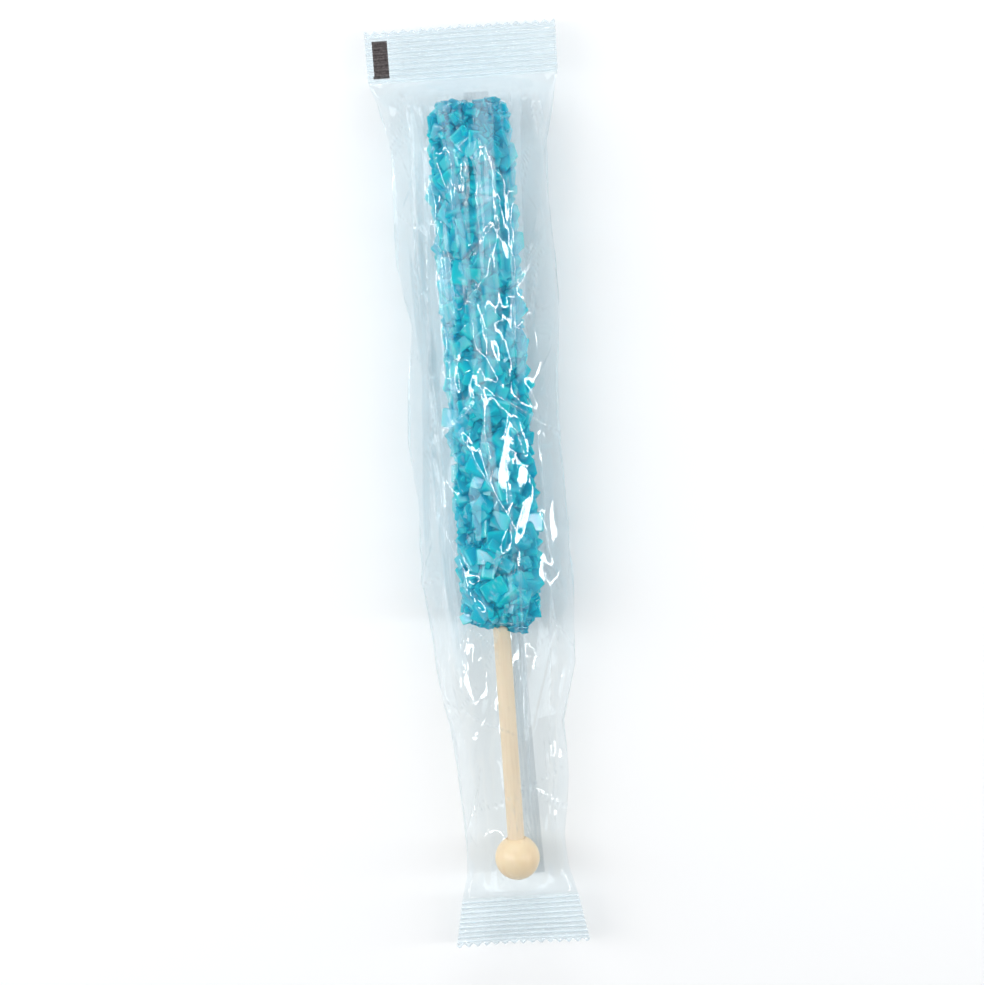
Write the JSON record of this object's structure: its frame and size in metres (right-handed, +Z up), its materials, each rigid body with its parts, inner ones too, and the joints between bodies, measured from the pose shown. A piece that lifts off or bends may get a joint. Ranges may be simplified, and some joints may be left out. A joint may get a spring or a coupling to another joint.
{
  "type": "rock candy stick",
  "caption": "Blue rock sugar crystals grown on a wooden dowel with a ball end, sealed in a loose sleeve of clear film.",
  "frame": {"origin": "on the surface that the wrapped stick lies on, under the middle of its box", "axes": "+Y along the stick from the ball to the sugar's tip, +X across it, +Z up"},
  "size_m": [0.0384, 0.1898, 0.0205],
  "materials": {
    "blue_sugar": "clear turquoise sugar crystals with glossy faces",
    "pale_wood": "plain turned birch, smooth and unvarnished",
    "clear_film": "clear glossy packing film, creased and crimped"
  },
  "bodies": {
    "root": {"candy": "blue_sugar", "dowel": "pale_wood", "ball": "pale_wood", "wrapper": "clear_film"}
  },
  "joints": []
}
